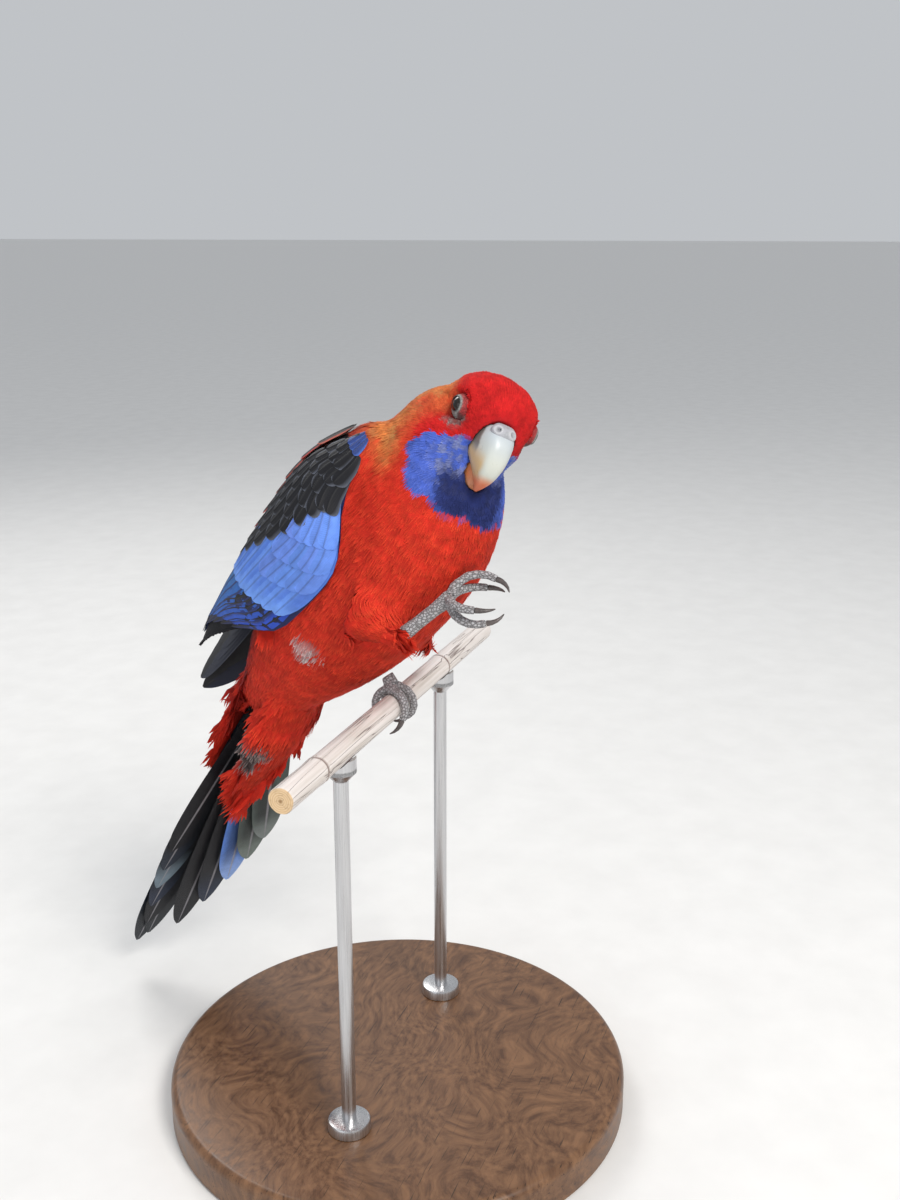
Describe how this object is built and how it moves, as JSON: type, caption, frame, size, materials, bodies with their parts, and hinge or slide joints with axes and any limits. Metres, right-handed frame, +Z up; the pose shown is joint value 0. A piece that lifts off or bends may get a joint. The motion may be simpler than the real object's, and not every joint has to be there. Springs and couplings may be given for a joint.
{
  "type": "parrot display model",
  "caption": "Still, life-size museum-style model of a crimson and blue parrot with one foot raised, perched on a short cane held by two rods on a round base.",
  "frame": {"origin": "centre of the base's flat underside", "axes": "+Z up, X along the cane perch with its cut near end toward -X, and the bird's breast toward -Y"},
  "size_m": [0.18, 0.2254, 0.2734],
  "materials": {
    "bill_horn": "smooth horn, faint growth lines",
    "cere_skin": "bare fleshy skin",
    "claw_horn": "dark horn, slightly glossy",
    "eye_dark": "wet and glossy",
    "leg_scales": "dry scales",
    "cane": "weathered, matt",
    "base_wood": "satin varnish",
    "rod_steel": "brushed",
    "flight_black": "feather vane, slight sheen",
    "wing_blue": "feather vane, slight sheen",
    "tail_dark": "feather vane, slight sheen",
    "tail_blue": "feather vane, slight sheen",
    "plumage_crimson": "soft matt feathers"
  },
  "bodies": {
    "root": {"bill_lower": "bill_horn", "bill_upper": "bill_horn", "cere": "cere_skin", "claw_left_1": "claw_horn", "claw_left_2": "claw_horn", "claw_left_3": "claw_horn", "claw_left_4": "claw_horn", "claw_right_1": "claw_horn", "claw_right_2": "claw_horn", "claw_right_3": "claw_horn", "claw_right_4": "claw_horn", "eye_left": "eye_dark", "eye_right": "eye_dark", "foot_left": "leg_scales", "foot_right": "leg_scales", "head": "plumage_crimson", "neck": "plumage_crimson", "perch": "cane", "primaries_left": "flight_black", "primaries_right": "flight_black", "stand_base": "base_wood", "stand_rod_far": "rod_steel", "stand_rod_near": "rod_steel", "tail_coverts_under": "plumage_crimson", "tail_coverts_upper": "plumage_crimson", "tail_left": "tail_blue", "tail_middle": "tail_dark", "tail_right": "tail_blue", "thigh_left": "plumage_crimson", "thigh_right": "plumage_crimson", "trunk": "plumage_crimson", "wing_left": "wing_blue", "wing_right": "wing_blue"}
  },
  "joints": []
}
